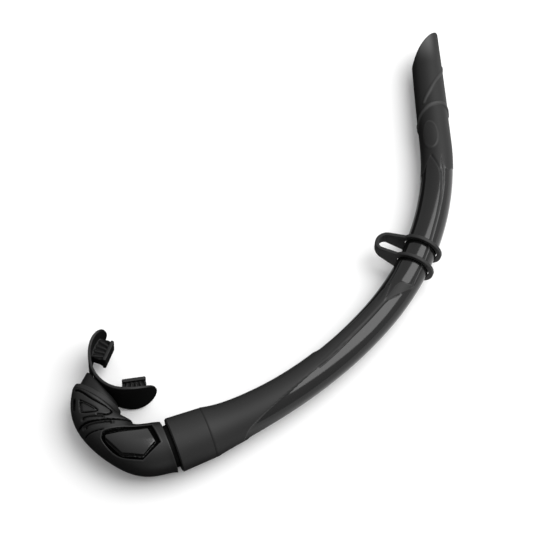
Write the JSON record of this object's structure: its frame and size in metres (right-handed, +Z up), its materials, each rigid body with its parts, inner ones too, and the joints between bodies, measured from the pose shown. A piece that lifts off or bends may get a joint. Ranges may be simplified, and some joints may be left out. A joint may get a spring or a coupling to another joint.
{
  "type": "snorkel tube",
  "caption": "Black J-shaped snorkel lying on its side, with a scarfed open tip, a sliding strap keeper, a swivelling caged elbow with a purge valve, and a soft mouthpiece.",
  "frame": {"origin": "centre of the bounding box's footprint, on the surface that the snorkel lies on", "axes": "+Z up from that surface and square to the plane of the J; +Y towards the open tip, along the straight top of the tube; +X towards the outside of the bend"},
  "size_m": [0.2829, 0.3753, 0.039],
  "materials": {
    "silicone_matte": "matte moulded silicone rubber",
    "silicone_gloss": "glossy moulded silicone rubber",
    "cage_plastic": "fine satin moulded nylon",
    "cover_plastic": "polished moulded polycarbonate",
    "connector_plastic": "moulded acetal",
    "valve_silicone": "thin moulded silicone rubber"
  },
  "bodies": {
    "tube_body": {"tube": "silicone_matte", "collar": "silicone_matte", "connector": "connector_plastic", "o_ring": "valve_silicone"},
    "elbow": {"elbow_housing": "cage_plastic", "elbow_liner": "silicone_gloss", "lip_band": "cage_plastic", "purge_seat": "connector_plastic", "purge_cover": "cover_plastic", "mouthpiece_neck": "silicone_matte"},
    "purge_flap": {"purge_diaphragm": "valve_silicone"},
    "mouth": {"mouthpiece": "silicone_matte"},
    "keeper": {"strap_keeper": "silicone_matte"}
  },
  "joints": [
    {"name": "elbow_swivel", "type": "hinge", "parent": "tube_body", "child": "elbow", "pos_m": [-0.06976, -0.16682, 0.0195], "axis": [0.9272, 0.3746, 0], "continuous": true},
    {"name": "mouthpiece_flex", "type": "hinge", "parent": "elbow", "child": "mouth", "pos_m": [-0.123, -0.1275, 0.0195], "axis": [0, 0, 1], "range_deg": [-12, 12], "stiffness_Nm_per_rad": 0.4, "deforming": ["mouthpiece_neck"]},
    {"name": "flap_lift", "type": "slide", "parent": "elbow", "child": "purge_flap", "axis": [0, 0, 1], "range_m": [0, 0.001], "stiffness_N_per_m": 20},
    {"name": "keeper_slide", "type": "hinge", "parent": "tube_body", "child": "keeper", "pos_m": [-0.09313, 0.07475, 0.0195], "axis": [0, 0, 1], "range_deg": [-11, 22]}
  ]
}
